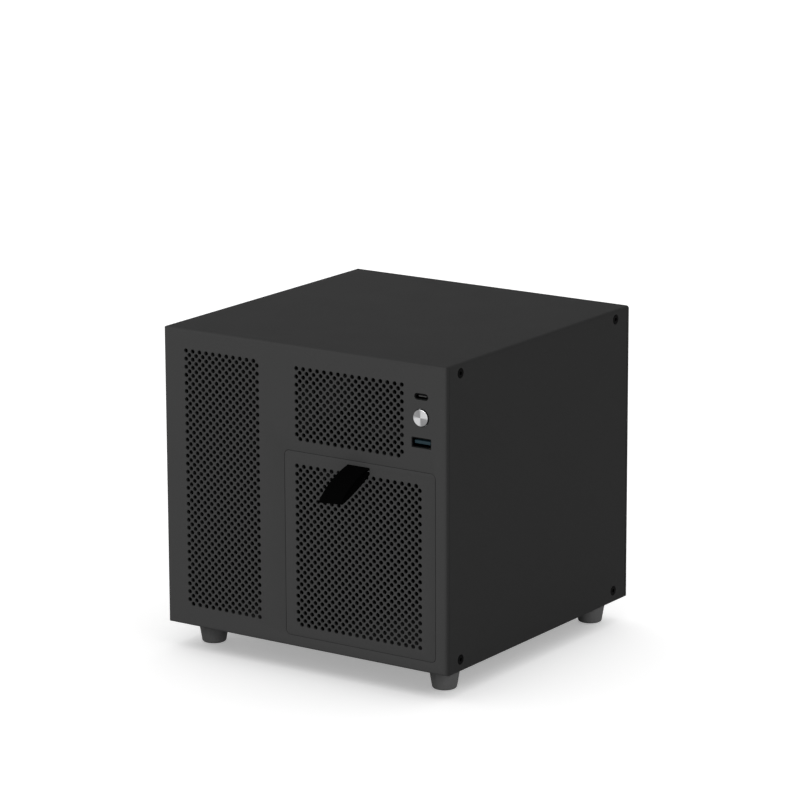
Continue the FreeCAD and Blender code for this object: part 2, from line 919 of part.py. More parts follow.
def build():
    os.makedirs("parts", exist_ok=True)
    save("front_panel", front_panel())
    save("top_cover", top_cover())
    save("base_tray", base_tray())
    save("rear_panel", rear_panel())
    save("cover_screws_left", cover_screws(-1))
    save("cover_screws_right", cover_screws(1))
    save("drive_door", drive_door())
    save("door_pull_strap", door_pull_strap())
    save("strap_clamp", strap_clamp())
    save("magnet_rail_top", magnet_rail(1))
    save("magnet_rail_bottom", magnet_rail(-1))
    save("door_magnets", door_magnets())
    save("usb_a_shell", socket_shell(plain_port, usb_a_level, usb_a_width, usb_a_height))
    save("usb_c_shell", socket_shell(round_port, usb_c_level, usb_c_width, usb_c_height))
    save("usb_a_tongue", socket_tongue(
        usb_a_level, usb_a_tongue_width, usb_a_tongue_thick, usb_a_tongue_rise,
        usb_a_height - 2 * socket_wall - slip))
    save("usb_c_tongue", socket_tongue(
        usb_c_level, usb_c_tongue_width, usb_c_tongue_thick, 0, usb_c_height - 2 * socket_wall - slip))
    save("power_button", power_button())
    save("button_guide", button_guide())
    save("power_switch", power_switch())
    save("switch_plunger", switch_plunger())
    save("front_io_board", front_io_board())
    save("io_board_standoffs", io_board_standoffs())
    save("drive_cage_left", drive_cage(-1))
    save("drive_cage_right", drive_cage(1))
    save("backplane_board", backplane_board())
    for index in range(bay_count):
        save("drive_connector_%d" % (index + 1), drive_connector(index))
    save("backplane_data_sockets", backplane_data_sockets())
    save("backplane_power_sockets", backplane_power_sockets())
    save("motherboard_tray", motherboard_tray())
    save("motherboard_standoffs", motherboard_standoffs())
    save("psu_shelf", psu_shelf())
    save("fan_frame", fan_frame())
    save("fan_bearing", fan_bearing())
    save("fan_shaft", fan_shaft())
    save("fan_rotor", fan_rotor())
    save("fan_screws", fan_screws())
    save("rubber_feet", rubber_feet())


build()
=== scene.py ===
"""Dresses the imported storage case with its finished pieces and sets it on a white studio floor.

Lengths are metres in the part's own frame. spot(), reach(), block() and bar() count in millimetres
from the middle of the shell, its front face and its underside.
"""
import json
import math

import bpy
from bpy.props import FloatProperty, FloatVectorProperty, IntProperty, PointerProperty
from mathutils import Matrix, Vector


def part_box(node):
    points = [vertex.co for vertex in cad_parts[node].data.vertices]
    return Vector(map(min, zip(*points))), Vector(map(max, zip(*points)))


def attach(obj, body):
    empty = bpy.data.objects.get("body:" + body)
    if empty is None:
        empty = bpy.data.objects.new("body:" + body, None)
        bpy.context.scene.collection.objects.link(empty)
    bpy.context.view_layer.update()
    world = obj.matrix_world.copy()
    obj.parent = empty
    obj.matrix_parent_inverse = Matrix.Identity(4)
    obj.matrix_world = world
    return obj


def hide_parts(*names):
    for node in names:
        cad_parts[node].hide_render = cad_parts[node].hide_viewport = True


bl_info = {
    "name": "Storage Case Dresser",
    "version": (1, 0, 0),
    "blender": (4, 5, 0),
    "location": "View3D > Sidebar > Storage Case",
    "description": "Models a folded steel storage case and its studio",
    "category": "Add Mesh",
}

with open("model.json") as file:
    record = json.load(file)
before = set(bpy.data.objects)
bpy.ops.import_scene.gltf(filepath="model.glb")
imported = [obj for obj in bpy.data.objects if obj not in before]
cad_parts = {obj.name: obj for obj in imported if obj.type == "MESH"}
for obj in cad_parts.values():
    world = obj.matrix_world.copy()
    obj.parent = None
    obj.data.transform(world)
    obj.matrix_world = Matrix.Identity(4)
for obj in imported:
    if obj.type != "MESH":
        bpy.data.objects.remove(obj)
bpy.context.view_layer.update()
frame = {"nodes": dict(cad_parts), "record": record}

panel_low, panel_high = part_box("front_panel")
cover_low, cover_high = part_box("top_cover")
rear_low, rear_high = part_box("rear_panel")
door_low, door_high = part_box("drive_door")
fan_low, fan_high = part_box("fan_frame")
fan_middle = (fan_low + fan_high) / 2

MM = 0.001
FORWARD = Vector((0, -1, 0))
BACKWARD = Vector((0, 1, 0))
DOWN = Vector((0, 0, -1))
SIDES = (-1, 1)
ALONG = 0.9  # share of an axis from which a direction runs along it
NEAR = 1e-5  # how far from a face an edge may lie and still be on it
NOISE_SPAN = (0.3, 0.7)  # where most values of a noise lie
WAVE_SCALE = math.pi / 10  # scale at which a wave texture repeats once a metre
FAN_HOLE_SPAN = 0.0825

# Millimetres
HALF_WIDTH = panel_high.x / MM
DEPTH = (rear_high.y - panel_low.y) / MM
HEIGHT = (panel_high.z - panel_low.z) / MM
FRONT_CUT = (-2.0, 2.4)  # from before the front sheet to behind it
REAR_CUT = (199.0, 204.0)  # the same through the rear sheet
STRAP_ROOT = (114.0, 118.0)  # heights of the ribbon where it leaves the door
SCREW_DEPTHS = (15.0, 15.5)  # side screws, from the front and from the rear
SCREW_HEIGHTS = (6.9, 5.9)  # side screws, from the underside and from the top
SPARE = 1.0  # how far a cutter reaches past what it cuts


def spot(x, y, z):
    return Vector((x * MM, panel_low.y + y * MM, panel_low.z + z * MM))


def reach(solid):
    """The box of a solid as ranges of x, y and z, in millimetres as spot() takes them."""
    low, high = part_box(solid)
    origin = spot(0, 0, 0)
    return [((low[k] - origin[k]) / MM, (high[k] - origin[k]) / MM) for k in range(3)]


def wider(span, by):
    return (span[0] - by, span[1] + by)


def about(middle, length):
    return (middle - length / 2, middle + length / 2)


def mid(span):
    return (span[0] + span[1]) / 2


def strap_middle():
    """Where the ribbon's middle lies across the door, in millimetres."""
    return mid(reach("door_pull_strap")[0]) - bpy.context.scene.strap_sizes.aside / MM


def fan_corners():
    half = FAN_HOLE_SPAN / 2
    return [
        Vector((fan_middle.x + i * half, rear_high.y, fan_middle.z + k * half))
        for i in SIDES for k in SIDES
    ]


def metres(name, description, default):
    return FloatProperty(name=name, description=description, default=default, unit="LENGTH")


def paint(name, description, default):
    return FloatVectorProperty(name=name, description=description, default=default, subtype="COLOR")


def number(name, description, default):
    return FloatProperty(name=name, description=description, default=default)


class ShellSizes(bpy.types.PropertyGroup):
    sheet: metres("Sheet", "Thickness of the folded steel", 0.0012)
    bend: metres("Bend", "Outer radius of the folds", 0.002)
    lap: metres("Lap", "How far a lip sits inside", 0.0014)
    front_rim: metres("Front rim", "Depth of the front edge", 0.0032)
    rear_rim: metres("Rear rim", "Depth of the rear edge", 0.002)
    door_gap: metres("Door gap", "Gap round the drive door", 0.0002)
    eased: metres("Eased edge", "Rounding of a cut edge", 0.0002)
    door_corner: metres("Door corner", "Corner radius of the door", 0.003)


class PerforationSizes(bpy.types.PropertyGroup):
    hole: metres("Hole", "Diameter of a punched hole", 0.00275)
    half_pitch: metres("Half pitch", "Step between staggered rows", 0.0025)
    sides: IntProperty(name="Sides", description="Flats round each hole", default=14, min=6)
    flare: metres("Flare", "Depth of a hole's soft edge", 0.00012)


class StrapSizes(bpy.types.PropertyGroup):
    width: metres("Width", "Width of the ribbon", 0.0157)
    thick: metres("Thickness", "Thickness of one layer", 0.0012)
    aside: metres("Aside", "How far the ribbon lies to the left", 0.0005)
    twist: FloatProperty(
        name="Twist", description="How far the ribbon turns towards its tip",
        default=math.radians(4.0), subtype="ANGLE")


class ButtonSizes(bpy.types.PropertyGroup):
    radius: metres("Radius", "Radius of the button's cap", 0.0050)
    gap: metres("Gap", "Gap round the cap in the panel", 0.0004)


class FinishColours(bpy.types.PropertyGroup):
    coat: paint("Coat", "Powder coat", (0.0403, 0.0403, 0.0403))
    # A darker copy of the powder coat for the inner sheets: painted shade for the dark inside of the
    # case
    inner_coat: paint("Inner coat", "Inner sheets", (0.016, 0.016, 0.016))
    rubber: paint("Rubber", "Feet", (0.042, 0.042, 0.042))
    ribbon: paint("Ribbon", "Pull strap", (0.0007, 0.0007, 0.0007))
    oxide: paint("Oxide", "Black screws", (0.0010, 0.0010, 0.0010))
    tongue: paint("Tongue", "Socket tongue", (0.011, 0.025, 0.032))
    mask: paint("Solder mask", "Boards", (0.008, 0.055, 0.022))


class StudioSettings(bpy.types.PropertyGroup):
    key: number("Key light", "Soft light on the case", 2.4)
    overhead: number("Overhead light", "Light on the floor", 1.75)
    fill: number("Fill light", "Low light on the feet", 4.0)
    ambient: number("Ambient", "Light from all round", 0.40)
    floor_lift: number("Floor lift", "Light that the floor adds to look white", 0.34)


# Handling pieces


def lay_down():
    if bpy.context.mode != "OBJECT":
        bpy.ops.object.mode_set(mode="OBJECT")
    bpy.ops.object.select_all(action="DESELECT")


def take(piece):
    lay_down()
    bpy.context.view_layer.objects.active = piece
    piece.select_set(True)


def fix(piece):
    take(piece)
    bpy.ops.object.transform_apply()


def scrap(piece):
    take(piece)
    bpy.ops.object.delete()


def pick(piece, kind, wanted):
    """Enter edit mode with the edges or faces selected whose middle and direction satisfy wanted."""
    take(piece)
    bpy.ops.object.mode_set(mode="EDIT")
    bpy.ops.mesh.select_mode(type=kind)
    bpy.ops.mesh.select_all(action="DESELECT")
    bpy.ops.object.mode_set(mode="OBJECT")
    mesh = piece.data
    if kind == "FACE":
        for face in mesh.polygons:
            face.select = wanted(face.center, face.normal)
    else:
        for edge in mesh.edges:
            a, b = (mesh.vertices[k].co for k in edge.vertices)
            edge.select = wanted((a + b) / 2, (b - a).normalized())
    bpy.ops.object.mode_set(mode="EDIT")


def edit_all(piece):
    take(piece)
    bpy.ops.object.mode_set(mode="EDIT")
    bpy.ops.mesh.select_all(action="SELECT")


def bevel_picked(width, segments):
    bpy.ops.mesh.bevel(offset=width, segments=segments)
    lay_down()


def extrude(step):
    bpy.ops.mesh.extrude_region_move(TRANSFORM_OT_translate={"value": step})


def extrude_edges(step):
    bpy.ops.mesh.extrude_edges_move(TRANSFORM_OT_translate={"value": step})


def face_outward(piece):
    edit_all(piece)
    bpy.ops.mesh.normals_make_consistent()
    lay_down()


def modify(piece, kind, **settings):
    """Add a modifier with these settings and apply it."""
    modifier = piece.modifiers.new(kind, kind)
    for name, value in settings.items():
        setattr(modifier, name, value)
    take(piece)
    bpy.ops.object.modifier_apply(modifier=modifier.name)


def ease(piece, width, segments=2, angle=40.0):
    """Round every edge sharper than the angle."""
    modify(
        piece, "BEVEL", width=width, segments=segments, limit_method="ANGLE",
        angle_limit=math.radians(angle))


def combine(piece, operation, others):
    for other in others:
        modify(piece, "BOOLEAN", operation=operation, solver="MANIFOLD", object=other)
        scrap(other)


def carve(piece, *cutters):
    """Cut closed pieces out of a closed piece and throw the cutters away."""
    combine(piece, "DIFFERENCE", cutters)


def unite(piece, *others):
    combine(piece, "UNION", others)


def gather(pieces):
    """Join loose pieces into one object."""
    take(pieces[0])
    for piece in pieces[1:]:
        piece.select_set(True)
    bpy.ops.object.join()
    return pieces[0]


def again(piece, matrix):
    """A copy with its own mesh, moved by a matrix."""
    take(piece)
    bpy.ops.object.duplicate()
    copy = bpy.context.object
    copy.matrix_world = matrix @ copy.matrix_world
    fix(copy)
    return copy


def hand_over(piece, name, slot, nodes=(), body="case", finish=None, smooth=35.0):
    """Name, shade and paint a finished piece, tie it to its body, and hide the solids that it stands
    for.
    """
    fix(piece)
    bpy.ops.object.shade_smooth_by_angle(angle=math.radians(smooth))
    piece.name = name
    piece.data.name = name
    piece.data.materials.clear()  # a cut or a union leaves an empty slot
    piece.data.materials.append(finishes[finish or slot])
    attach(piece, body)
    if nodes:
        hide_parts(*nodes)


# Shapes


def slab(low, high):
    lay_down()
    bpy.ops.mesh.primitive_cube_add(size=1, location=(low + high) / 2)
    piece = bpy.context.object
    piece.scale = high - low
    fix(piece)
    return piece


def block(x, y, z):
    return slab(spot(x[0], y[0], z[0]), spot(x[1], y[1], z[1]))


def bar(x, y, z, corner, segments=6):
    """A block whose four edges along y are rounded by corner millimetres."""
    piece = block(x, y, z)
    pick(piece, "EDGE", lambda middle, way: abs(way.y) > ALONG)
    bevel_picked(corner * MM, segments)
    return piece


def turned(foot, axis, rings, sides):
    """A turned piece: a disc extruded and scaled through rings of (distance, radius) along an axis."""
    lay_down()
    bpy.ops.mesh.primitive_circle_add(vertices=sides, radius=rings[0][1], fill_type="NGON")
    piece = bpy.context.object
    edit_all(piece)
    bpy.ops.transform.translate(value=(0, 0, rings[0][0]))
    for (before, wide), (after, narrow) in zip(rings, rings[1:]):
        extrude((0, 0, after - before))
        share = narrow / wide
        bpy.ops.transform.resize(value=(share, share, 1), center_override=(0, 0, after))
    face_outward(piece)
    turn = Vector((0, 0, 1)).rotation_difference(axis).to_matrix().to_4x4()
    piece.matrix_world = Matrix.Translation(foot) @ turn
    fix(piece)
    return piece


def rod(start, axis, radius, length, sides):
    return turned(start, axis, [(0, radius), (length, radius)], sides)


def bore(x, y, z, radius, sides):
    """A round cutter along y; its place is in millimetres."""
    return rod(spot(x, y[0], z), BACKWARD, radius, (y[1] - y[0]) * MM, sides)


def repeated(places, axis, rings, sides):
    """The same turned piece at each place, joined."""
    first = turned(places[0], axis, rings, sides)
    others = [again(first, Matrix.Translation(place - places[0])) for place in places[1:]]
    return gather([first] + others)


def rounded_end(end, radius, edge, steps):
    """Rings that round the outer edge of a turned piece's end."""
    turns = [k / steps * math.pi / 2 for k in range(steps + 1)]
    return [(end - edge + edge * math.sin(t), radius - edge + edge * math.cos(t)) for t in turns]


def folded_pan(face, rim, lip, rounding):
    """A hemmed panel: face, rim and an inset lip, drawn out of one block towards the lip."""
    sizes = bpy.context.scene.shell_sizes
    inward = 1 if lip > face else -1
    low = Vector((panel_low.x, min(face, rim), panel_low.z))
    high = Vector((panel_high.x, max(face, rim), panel_high.z))
    piece = slab(low, high)
    pick(piece, "EDGE", lambda middle, way: abs(middle.y - face) < NEAR)
    bevel_picked(rounding, segments=6)
    pick(piece, "FACE", lambda middle, normal: normal.y * inward > ALONG)
    bpy.ops.mesh.inset(thickness=sizes.lap)
    extrude((0, lip - rim, 0))
    bpy.ops.mesh.inset(thickness=sizes.sheet)
    back = face + inward * sizes.sheet
    extrude((0, back - lip, 0))
    lay_down()
    return piece


def corner_cutters():
    """Cutters that round the two upper corners of a pan as the cover is bent."""
    bend = bpy.context.scene.shell_sizes.bend / MM
    inner = HALF_WIDTH - bend
    long = wider((0, DEPTH), SPARE)
    cutters = []
    for side in SIDES:
        across = sorted((side * inner, side * (HALF_WIDTH + SPARE)))
        cutter = block(across, long, (HEIGHT - bend, HEIGHT + SPARE))
        carve(cutter, bore(side * inner, wider(long, SPARE), HEIGHT - bend, bend * MM, sides=64))
        cutters.append(cutter)
    return cutters


def hole_field(x, z, columns, rows):
    """Cutters for a staggered field of punched holes: one spool, repeated by two arrays each way."""
    sizes = bpy.context.scene.perforation_sizes
    radius = sizes.hole / 2
    ahead = 0.0001
    behind = 0.0004
    through = bpy.context.scene.shell_sizes.sheet + behind
    rings = [(-ahead, radius + sizes.flare + ahead), (sizes.flare, radius), (through, radius)]
    spool = turned(spot(x, 0, z), BACKWARD, rings, sizes.sides)
    step = sizes.half_pitch
    parts = [spool, again(spool, Matrix.Translation((step, 0, -step)))]
    for odd, part in enumerate(parts):
        counts = ((columns + 1 - odd) // 2, (rows + 1 - odd) // 2)
        for count, way in zip(counts, ((2 * step, 0, 0), (0, 0, -2 * step))):
            modify(
                part, "ARRAY", count=count, use_relative_offset=False, use_constant_offset=True,
                constant_offset_displace=way)
    return gather(parts)


def dimple(face, inward):
    """Cutter for a countersunk screw hole."""
    head = 0.00326
    shank = 0.00156
    long = 0.006
    ahead = 0.0003
    deep = bpy.context.scene.shell_sizes.sheet
    slope = (head - shank) / deep
    rings = [(-ahead, head + slope * ahead), (deep, shank), (long, shank)]
    return turned(face, inward, rings, sides=32)


def along_side(side, make):
    """A screw, or the hole for one, at each of its places on the left (-1) or the right (1)."""
    depths = (SCREW_DEPTHS[0], DEPTH - SCREW_DEPTHS[1])
    heights = (SCREW_HEIGHTS[0], HEIGHT - SCREW_HEIGHTS[1])
    inward = Vector((-side, 0, 0))
    return [make(spot(side * HALF_WIDTH, y, z), inward) for y in depths for z in heights]


def side_dimples():
    return along_side(-1, dimple) + along_side(1, dimple)


# Finishes

finishes = {}  # most are named after a material slot of the record


def wire(tree, shader, inputs):
    """Give each input of a node a value, or link it to another node's output."""
    for name, value in inputs.items():
        if isinstance(value, bpy.types.NodeSocket):
            tree.links.new(value, shader.inputs[name])
        else:
            shader.inputs[name].default_value = value


def node(tree, kind, inputs=None, **settings):
    """Add a shader node with its settings and inputs; returns its outputs."""
    made = tree.nodes.new("ShaderNode" + kind)
    for name, value in settings.items():
        setattr(made, name, value)
    wire(tree, made, inputs or {})
    return made.outputs


def maths(tree, operation, *values):
    return node(tree, "Math", dict(enumerate(values)), operation=operation)["Value"]


def own_place(tree):
    """The piece's own coordinates."""
    return node(tree, "TexCoord")["Object"]


def noise(tree, scale, detail, stretch=(1, 1, 1)):
    place = node(tree, "Mapping", {"Vector": own_place(tree), "Scale": stretch})["Vector"]
    return node(tree, "TexNoise", {"Vector": place, "Scale": scale, "Detail": detail})["Fac"]


def wave(tree, place, width, **settings):
    """Fine waves, one each width."""
    return node(tree, "TexWave", {"Vector": place, "Scale": WAVE_SCALE / width}, **settings)["Fac"]


def spread(tree, value, low, high):
    """Map a noise value to a narrow range."""
    start, end = NOISE_SPAN
    inputs = {"Value": value, "From Min": start, "From Max": end, "To Min": low, "To Max": high}
    return node(tree, "MapRange", inputs)["Result"]


def tint(tree, value, colour, swing):
    """Colour that swings a little darker and lighter with a noise value."""
    ramp = tree.nodes.new("ShaderNodeValToRGB")
    shares = (1 - swing, 1 + swing)
    for element, position, share in zip(ramp.color_ramp.elements, NOISE_SPAN, shares):
        element.position = position
        element.color = (*[c * share for c in colour], 1)
    wire(tree, ramp, {"Fac": value})
    return ramp.outputs["Color"]


def bump(tree, value, strength, distance, **normal):
    inputs = {"Height": value, "Strength": strength, "Distance": distance, **normal}
    return node(tree, "Bump", inputs)["Normal"]


def new_finish(name):
    material = bpy.data.materials.new(name + "_finish")
    material.use_nodes = True
    finishes[name] = material
    return material.node_tree, material.node_tree.nodes["Principled BSDF"]


def grained(
        name, colour, scale, detail, swing, rough, relief=None, metal=0.0, gloss=0.5,
        stretch=(1, 1, 1), cloud=None):
    """A finish that follows a fine noise; a coarser cloud may lead its roughness."""
    tree, shader = new_finish(name)
    grain = noise(tree, scale, detail, stretch)
    wire(tree, shader, {
        "Base Color": tint(tree, grain, colour, swing),
        "Roughness": spread(tree, noise(tree, *cloud) if cloud else grain, *rough),
        "Metallic": metal,
        "Specular IOR Level": gloss,
    })
    if relief:
        wire(tree, shader, {"Normal": bump(tree, grain, *relief)})


def woven_ribbon(colour):
    """Black grosgrain: cross ribs with fine lengthways threads."""
    tree, shader = new_finish("strap_ribbon")
    rib = 0.0007
    thread = 0.0004
    ribs = wave(tree, own_place(tree), rib, bands_direction="Y")
    threads = wave(tree, own_place(tree), thread, bands_direction="X")
    fuzz = noise(tree, scale=3500, detail=2)
    ribbed = bump(tree, ribs, strength=0.5, distance=0.0002)
    wire(tree, shader, {
        "Base Color": tint(tree, fuzz, colour, swing=0.4),
        "Roughness": spread(tree, fuzz, low=0.8, high=0.95),
        "Normal": bump(tree, threads, strength=0.25, distance=0.0001, Normal=ribbed),
        "Specular IOR Level": 0.009,
    })


def spun_metal():
    """Fine rings round the button's middle, and a painted highlight: two bright fans painted into the
    colour, as a spun face shows them in light.
    """
    tree, shader = new_finish("spun_metal")
    low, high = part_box("power_button")
    middle = (low + high) / 2
    ring = 0.00012
    colour = (0.37, 0.37, 0.375)
    centre = (-middle.x, 0, -middle.z)
    place = node(tree, "Mapping", {"Vector": own_place(tree), "Location": centre})["Vector"]
    rings = wave(tree, place, ring, wave_type="RINGS", rings_direction="Y")
    parts = node(tree, "SeparateXYZ", {"Vector": place})
    angle = maths(tree, "ARCTAN2", parts["Z"], parts["X"])
    # The colour swings lighter and darker with twice the angle round the middle: a painted highlight in
    # two bright fans with darker ones between
    fans = maths(tree, "SINE", maths(tree, "MULTIPLY", angle, 2.0))
    painted_highlight = node(tree, "MapRange", {"Value": fans, "From Min": -1.0})["Result"]
    wire(tree, shader, {
        "Base Color": tint(tree, painted_highlight, colour, swing=0.42),
        "Roughness": spread(tree, rings, low=0.26, high=0.34),
        "Normal": bump(tree, rings, strength=0.05, distance=0.00002),
        "Tangent": node(tree, "Tangent", direction_type="RADIAL", axis="Y")["Tangent"],
        "Metallic": 1.0,
        "Anisotropic": 0.5,
    })


def circuit_board(colour):
    """Solder mask over copper runs that show as faint raised lines."""
    tree, shader = new_finish("circuit_board")
    inputs = {"Vector": own_place(tree), "Scale": 260}
    cells = node(tree, "TexVoronoi", inputs, distance="CHEBYCHEV")
    line_step = 0.12
    lines = maths(tree, "PINGPONG", cells["Distance"], line_step)
    runs = node(tree, "MapRange", {"Value": lines, "From Min": 0.05, "From Max": 0.07})["Result"]
    wire(tree, shader, {
        "Base Color": tint(tree, runs, colour, swing=0.3),
        "Roughness": spread(tree, runs, low=0.34, high=0.4),
        "Normal": bump(tree, runs, strength=0.3, distance=0.00004),
    })


def mix_finishes():
    colours = bpy.context.scene.finish_colours
    powder = {
        "scale": 2600, "detail": 3, "swing": 0.10, "rough": (0.74, 0.80), "relief": (0.22, 0.00012),
        "gloss": 0.008, "cloud": (35, 2),
    }
    grained("shell_coat", colours.coat, **powder)
    # The same coat, darker for the inner sheets: painted shade
    grained("inner_coat", colours.inner_coat, **powder)
    grained(
        "black_screw", colours.oxide, scale=900, detail=3, swing=0.3, rough=(0.42, 0.55), gloss=0.012)
    grained(
        "foot_rubber", colours.rubber, scale=1500, detail=4, swing=0.12, rough=(0.72, 0.86),
        relief=(0.2, 0.0001), gloss=0.2)
    drawn = {
        "scale": 400, "detail": 4, "stretch": (1, 12, 1), "swing": 0.08, "relief": (0.08, 0.00005),
        "metal": 1.0,
    }
    metals = {
        "bare_steel": ((0.55, 0.55, 0.56), (0.26, 0.40)),
        # Near-black steel for the socket shells: painted shade for their dark recess behind the panel
        "black_nickel": ((0.006, 0.006, 0.0065), (0.36, 0.50)),
        "magnet_plating": ((0.68, 0.66, 0.62), (0.12, 0.26)),
        "brass": ((0.68, 0.47, 0.18), (0.24, 0.38)),
        "gold_flash": ((0.85, 0.62, 0.24), (0.16, 0.30)),
    }
    for name, (colour, rough) in metals.items():
        grained(name, colour, rough=rough, **drawn)
    moulded = {"scale": 1800, "detail": 3, "swing": 0.07, "relief": (0.12, 0.00006)}
    plastics = {
        "black_plastic": ((0.012, 0.012, 0.012), (0.43, 0.53), 0.35),
        "grey_plastic": ((0.05, 0.05, 0.05), (0.40, 0.50), 0.1),
        "pale_plastic": ((0.6, 0.57, 0.5), (0.40, 0.50), 0.35),
        "blue_plastic": (colours.tongue, (0.40, 0.50), 0.1),
    }
    for name, (colour, rough, gloss) in plastics.items():
        grained(name, colour, rough=rough, gloss=gloss, **moulded)
    woven_ribbon(colours.ribbon)
    spun_metal()
    circuit_board(colours.mask)


# Pieces


class CASE_OT_front_panel(bpy.types.Operator):
    """Fold and punch the front panel"""
    bl_idname = "case.front_panel"
    bl_label = "Front Panel"

    # Gap and corner in millimetres, and the steps of the corner
    socket_holes = {"usb_a_shell": (0.3, 0.5, 3), "usb_c_shell": (0.4, 1.99, 8)}
    # Place of the first hole in millimetres, columns and rows
    tower_field = (-85.2, 171.7, 22, 64)
    upper_field = (-4.0, 171.25, 31, 18)

    def execute(self, context):
        sizes = context.scene.shell_sizes
        piece = folded_pan(panel_low.y, panel_low.y + sizes.front_rim, panel_high.y, sizes.bend)
        carve(piece, *corner_cutters())
        self.cut_opening(piece, sizes)
        carve(piece, *side_dimples())
        for shell, (gap, corner, segments) in self.socket_holes.items():
            x, _, z = reach(shell)
            carve(piece, bar(wider(x, gap), FRONT_CUT, wider(z, gap), corner, segments))
        x, _, z = reach("power_button")
        radius = context.scene.button_sizes.radius + context.scene.button_sizes.gap
        carve(piece, bore(mid(x), FRONT_CUT, mid(z), radius, sides=64))
        carve(piece, hole_field(*self.tower_field))
        carve(piece, hole_field(*self.upper_field))
        hand_over(piece, "front_sheet", "shell_coat", ["front_panel"])
        return {"FINISHED"}

    def cut_opening(self, piece, sizes):
        """Cut the drive opening and ease its outer edge."""
        door_x, _, door_z = reach("drive_door")
        gap = sizes.door_gap / MM
        across, upright = wider(door_x, gap), wider(door_z, gap)
        carve(piece, bar(across, FRONT_CUT, upright, sizes.door_corner / MM + gap))
        low = spot(across[0] - SPARE, 0, upright[0] - SPARE)
        high = spot(across[1] + SPARE, 0, upright[1] + SPARE)
        pick(piece, "EDGE", lambda middle, way: (
            abs(middle.y - panel_low.y) < NEAR
            and low.x < middle.x < high.x and low.z < middle.z < high.z))
        bevel_picked(sizes.eased, segments=2)


class CASE_OT_drive_door(bpy.types.Operator):
    """Fold and punch the lift-off drive door"""
    bl_idname = "case.drive_door"
    bl_label = "Drive Door"

    # Millimetres, and for the field also columns and rows
    slot_gap = 0.3
    slot_corner = 0.6
    field = (-4.1, 112.1, 36, 40)

    def execute(self, context):
        sizes = context.scene.shell_sizes
        piece = bar(*reach("drive_door"), sizes.door_corner / MM)
        pick(piece, "EDGE", lambda middle, way: abs(middle.y - door_low.y) < NEAR)
        bevel_picked(sizes.eased, segments=2)
        pick(piece, "FACE", lambda middle, normal: normal.y > ALONG)
        bpy.ops.mesh.inset(thickness=sizes.sheet)
        extrude((0, door_low.y + sizes.sheet - door_high.y, 0))
        lay_down()
        across = wider(about(strap_middle(), context.scene.strap_sizes.width / MM), self.slot_gap)
        upright = wider(STRAP_ROOT, self.slot_gap)
        carve(piece, bar(across, FRONT_CUT, upright, self.slot_corner, segments=3))
        carve(piece, hole_field(*self.field))
        hand_over(piece, "door_sheet", "shell_coat", ["drive_door"], "door")
        return {"FINISHED"}


class CASE_OT_top_cover(bpy.types.Operator):
    """Fold the top and both sides from one sheet"""
    bl_idname = "case.top_cover"
    bl_label = "Top Cover"

    def execute(self, context):
        sizes = context.scene.shell_sizes
        piece = slab(cover_low, cover_high)
        top = cover_high.z - NEAR
        pick(piece, "EDGE", lambda middle, way: abs(way.y) > ALONG and middle.z > top)
        bevel_picked(sizes.bend, segments=8)
        pick(piece, "FACE", lambda middle, normal: abs(normal.y) > ALONG or normal.z < -ALONG)
        bpy.ops.mesh.delete(type="FACE")
        lay_down()
        modify(piece, "SOLIDIFY", thickness=sizes.sheet, offset=-1, use_even_offset=True)
        carve(piece, *side_dimples())
        hand_over(piece, "cover_sheet", "shell_coat", ["top_cover"])
        return {"FINISHED"}


class CASE_OT_screws(bpy.types.Operator):
    """Turn the countersunk screws of the cover and the fan"""
    bl_idname = "case.screws"
    bl_label = "Countersunk Screws"

    head = [(0, 0.0029), (0.00012, 0.00305)]
    shank = 0.0015
    recess = [(-0.0005, 0.0012), (0.0008, 0.0012), (0.0011, 0.0006)]
    side_length = 0.005
    fan_length = 0.012

    def execute(self, context):
        for side, name in zip(SIDES, ("left", "right")):
            screws = gather(along_side(side, self.screw))
            hand_over(screws, "side_screws_" + name, "black_screw", ["cover_screws_" + name])
        piece = gather([self.screw(corner, FORWARD, self.fan_length) for corner in fan_corners()])
        hand_over(piece, "rear_fan_screws", "black_screw", ["fan_screws"])
        return {"FINISHED"}

    def screw(self, place, inward, length=side_length):
        deep = bpy.context.scene.shell_sizes.sheet
        rings = self.head + [(deep, self.shank), (length, self.shank)]
        piece = turned(place, inward, rings, sides=32)
        carve(piece, turned(place, inward, self.recess, sides=6))
        return piece


